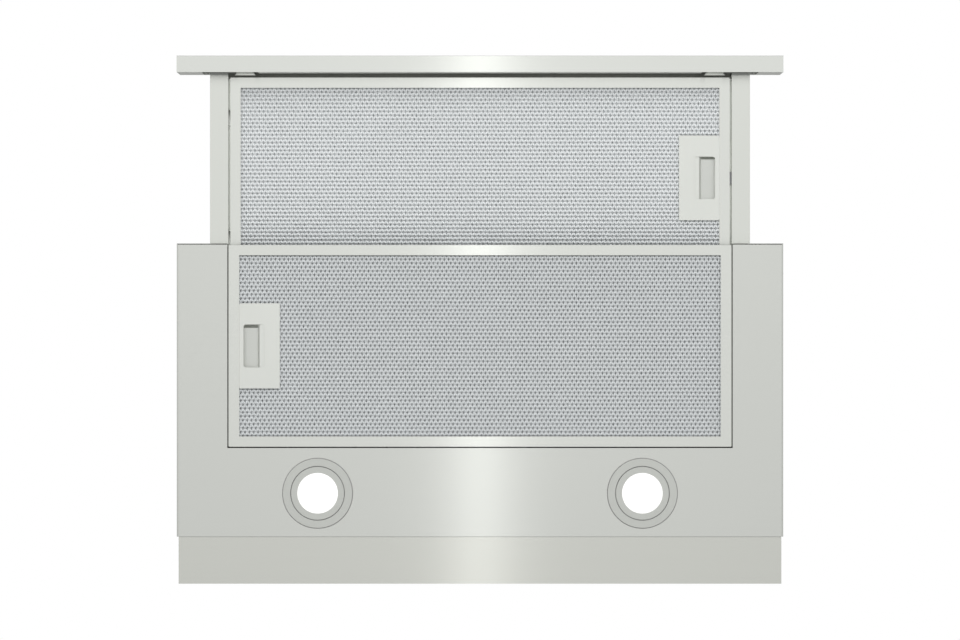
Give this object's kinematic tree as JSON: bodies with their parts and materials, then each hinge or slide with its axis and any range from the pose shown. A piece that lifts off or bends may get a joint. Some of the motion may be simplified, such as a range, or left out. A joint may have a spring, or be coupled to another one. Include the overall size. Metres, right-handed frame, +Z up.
{
  "type": "telescopic range hood",
  "caption": "Slim cooker hood with a pull-out filter drawer, latched mesh filters, round lamps, blower and duct collar.",
  "frame": {"origin": "middle of the cabinet screw pattern, in the plane where the base meets the cabinet's underside", "axes": "+X to the right along the front, +Y to the rear, +Z up into the cabinet"},
  "size_m": [0.598, 0.5204, 0.2162],
  "materials": {
    "stainless": "brushed along the width",
    "galvanised": "galvanised, dull",
    "steel": "zinc plated",
    "motor_steel": "machined and painted",
    "aluminium": "satin",
    "mesh": "expanded mesh",
    "dark_plastic": "matte",
    "pale_plastic": "matte",
    "lens": "frosted, lit",
    "dark_steel": "dark coating"
  },
  "bodies": {
    "base": {"base_panel": "stainless", "top_plate": "galvanised", "slide_carrier_left": "galvanised", "slide_carrier_right": "galvanised", "outer_slide_left": "steel", "outer_slide_right": "steel", "rear_spacer": "stainless", "spacer_screws": "steel", "casing": "galvanised", "casing_screws": "steel", "scroll_housing": "dark_plastic", "scroll_cover": "dark_plastic", "inlet_grille": "dark_plastic", "motor": "motor_steel", "motor_mount": "galvanised", "capacitor": "pale_plastic", "duct_collar": "dark_plastic", "collar_screws": "steel", "flap_axle": "steel", "terminal_box": "pale_plastic", "terminal_lid": "pale_plastic", "cable_gland": "dark_plastic", "side_springs": "steel", "lamp_bezel_left": "aluminium", "lamp_bezel_right": "aluminium", "lamp_lens_left": "lens", "lamp_lens_right": "lens", "led_modules": "aluminium", "lamp_clips": "steel", "rear_filter_frame": "aluminium", "rear_filter_mesh": "mesh", "rear_latch_plate": "aluminium", "rear_latch_spring": "steel"},
    "rear_latch": {"rear_latch_slider": "aluminium"},
    "drawer": {"drawer_trim": "stainless", "drawer_rail_left": "stainless", "drawer_rail_right": "stainless", "front_crossbar": "dark_steel", "rear_crossbar": "galvanised", "inner_slide_left": "steel", "inner_slide_right": "steel", "trim_clips": "aluminium", "trim_screws": "steel", "front_filter_frame": "aluminium", "front_filter_mesh": "mesh", "front_latch_plate": "aluminium", "front_latch_spring": "steel", "button_bezel": "dark_plastic", "switch_block": "dark_plastic"},
    "front_latch": {"front_latch_slider": "aluminium"},
    "off_button": {"button_off": "stainless"},
    "low_button": {"button_low": "stainless"},
    "high_button": {"button_high": "stainless"},
    "light_button": {"button_light": "stainless"},
    "left_cage": {"ball_cage_left": "steel"},
    "right_cage": {"ball_cage_right": "steel"},
    "blower_wheel": {"impeller": "pale_plastic", "motor_shaft": "steel"},
    "left_flap": {"flap_left": "dark_plastic"},
    "right_flap": {"flap_right": "dark_plastic"}
  },
  "joints": [
    {"name": "drawer_slide", "type": "slide", "parent": "base", "child": "drawer", "axis": [0, 1, 0], "range_m": [0, 0.168]},
    {"name": "left_cage_roll", "type": "slide", "parent": "base", "child": "left_cage", "axis": [0, 1, 0], "range_m": [0, 0.084]},
    {"name": "right_cage_roll", "type": "slide", "parent": "base", "child": "right_cage", "axis": [0, 1, 0], "range_m": [0, 0.084]},
    {"name": "front_latch_slide", "type": "slide", "parent": "drawer", "child": "front_latch", "axis": [-1, 0, 0], "range_m": [0, 0.0045], "stiffness_N_per_m": 400, "springref_m": -0.003, "deforming": ["front_latch_spring"]},
    {"name": "rear_latch_slide", "type": "slide", "parent": "base", "child": "rear_latch", "axis": [1, 0, 0], "range_m": [0, 0.0045], "stiffness_N_per_m": 400, "springref_m": -0.003, "deforming": ["rear_latch_spring"]},
    {"name": "off_press", "type": "slide", "parent": "drawer", "child": "off_button", "axis": [0, 1, 0], "range_m": [0, 0.0015], "stiffness_N_per_m": 1000, "springref_m": -0.001},
    {"name": "low_press", "type": "slide", "parent": "drawer", "child": "low_button", "axis": [0, 1, 0], "range_m": [0, 0.0015], "stiffness_N_per_m": 1000, "springref_m": -0.001},
    {"name": "high_press", "type": "slide", "parent": "drawer", "child": "high_button", "axis": [0, 1, 0], "range_m": [0, 0.0015], "stiffness_N_per_m": 1000, "springref_m": -0.001},
    {"name": "light_press", "type": "slide", "parent": "drawer", "child": "light_button", "axis": [0, 1, 0], "range_m": [0, 0.0015], "stiffness_N_per_m": 1000, "springref_m": -0.001},
    {"name": "blower_spin", "type": "hinge", "parent": "base", "child": "blower_wheel", "pos_m": [-0.095, 0.006, 0.1], "axis": [0, 0, 1], "continuous": true},
    {"name": "left_flap_swing", "type": "hinge", "parent": "base", "child": "left_flap", "pos_m": [0.13, 0, 0.1508], "axis": [0, 1, 0], "range_deg": [0, 78]},
    {"name": "right_flap_swing", "type": "hinge", "parent": "base", "child": "right_flap", "pos_m": [0.13, 0, 0.1508], "axis": [0, -1, 0], "range_deg": [0, 78]}
  ],
  "couplings": [
    {"joint": "left_cage_roll", "follows": "drawer_slide", "ratio": 0.5},
    {"joint": "right_cage_roll", "follows": "drawer_slide", "ratio": 0.5}
  ]
}
